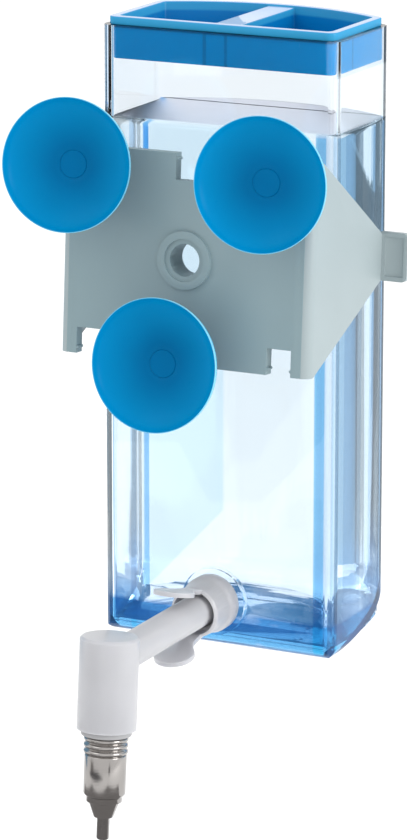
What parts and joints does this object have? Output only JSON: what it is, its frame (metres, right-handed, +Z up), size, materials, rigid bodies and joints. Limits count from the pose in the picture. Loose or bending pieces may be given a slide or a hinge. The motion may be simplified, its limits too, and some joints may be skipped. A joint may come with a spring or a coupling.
{
  "type": "small animal water bottle",
  "caption": "Clear hanging water bottle for a rabbit cage, with a push-in lid, a clip bracket on suction cups, a wing collar, a swivelling spout and a steel pin valve.",
  "frame": {"origin": "centre of the bracket's mounting hole, on the front face of its plate", "axes": "+Z up, -Y towards the cage or pane, +X to the right seen from the cage"},
  "size_m": [0.1155, 0.1462, 0.2594],
  "materials": {
    "clear_plastic": "clear moulded styrene, polished",
    "blue_plastic": "moulded polypropylene with a soft gloss",
    "grey_plastic": "pale blue-grey moulded plastic, satin",
    "blue_vinyl": "soft translucent vinyl, glossy",
    "milky_plastic": "translucent natural polyethylene",
    "white_seal": "soft white seal",
    "steel": "turned stainless steel",
    "bright_steel": "polished stainless steel",
    "dark_seal": "black rubber"
  },
  "bodies": {
    "bracket": {"bracket_plate": "grey_plastic"},
    "clip_left": {"clip_arm_left": "grey_plastic"},
    "clip_right": {"clip_arm_right": "grey_plastic"},
    "cup_upper_left": {"suction_cup_upper_left": "blue_vinyl"},
    "cup_upper_right": {"suction_cup_upper_right": "blue_vinyl"},
    "cup_lower": {"suction_cup_lower": "blue_vinyl"},
    "bottle": {"tank": "clear_plastic"},
    "lid": {"lid": "blue_plastic"},
    "collar": {"wing_collar": "milky_plastic"},
    "spout": {"feed_tube": "milky_plastic", "spout_seal": "white_seal", "elbow": "milky_plastic", "valve_gasket": "white_seal", "valve_body": "steel", "valve_seat": "dark_seal", "valve_spring": "bright_steel", "spring_retainer": "bright_steel"},
    "pin": {"valve_pin": "bright_steel"}
  },
  "joints": [
    {"name": "clip_left_flex", "type": "hinge", "parent": "bracket", "child": "clip_left", "pos_m": [-0.0431, 0.00349, -0.00024], "axis": [0, 0.0698, 0.9976], "range_deg": [0, 4.5], "stiffness_Nm_per_rad": 1.5},
    {"name": "clip_right_flex", "type": "hinge", "parent": "bracket", "child": "clip_right", "pos_m": [0.0431, 0.00349, -0.00024], "axis": [0, -0.0698, -0.9976], "range_deg": [0, 4.5], "stiffness_Nm_per_rad": 1.5},
    {"name": "cup_upper_left_slide", "type": "slide", "parent": "bracket", "child": "cup_upper_left", "axis": [0, 0.0698, 0.9976], "range_m": [0, 0.0137]},
    {"name": "cup_upper_right_slide", "type": "slide", "parent": "bracket", "child": "cup_upper_right", "axis": [0, 0.0698, 0.9976], "range_m": [0, 0.0137]},
    {"name": "cup_lower_slide", "type": "slide", "parent": "bracket", "child": "cup_lower", "axis": [0, -0.0698, -0.9976], "range_m": [-0.002, 0.0112]},
    {"name": "bottle_slide", "type": "slide", "parent": "bracket", "child": "bottle", "axis": [0, 0, 1], "range_m": [-0.02, 0.05]},
    {"name": "lid_lift", "type": "slide", "parent": "bottle", "child": "lid", "axis": [0, 0, 1], "range_m": [0, 0.03]},
    {"name": "collar_turn", "type": "hinge", "parent": "bottle", "child": "collar", "pos_m": [0, 0.024, -0.1242], "axis": [0, -1, 0], "range_deg": [0, 90]},
    {"name": "spout_swivel", "type": "hinge", "parent": "bottle", "child": "spout", "pos_m": [0, 0.024, -0.1242], "axis": [0, -1, 0], "range_deg": [-60, 60]},
    {"name": "pin_push", "type": "slide", "parent": "spout", "child": "pin", "axis": [0, 0.0872, 0.9962], "range_m": [0, 0.0015], "stiffness_N_per_m": 120, "springref_m": -0.002, "deforming": ["valve_spring"]}
  ]
}
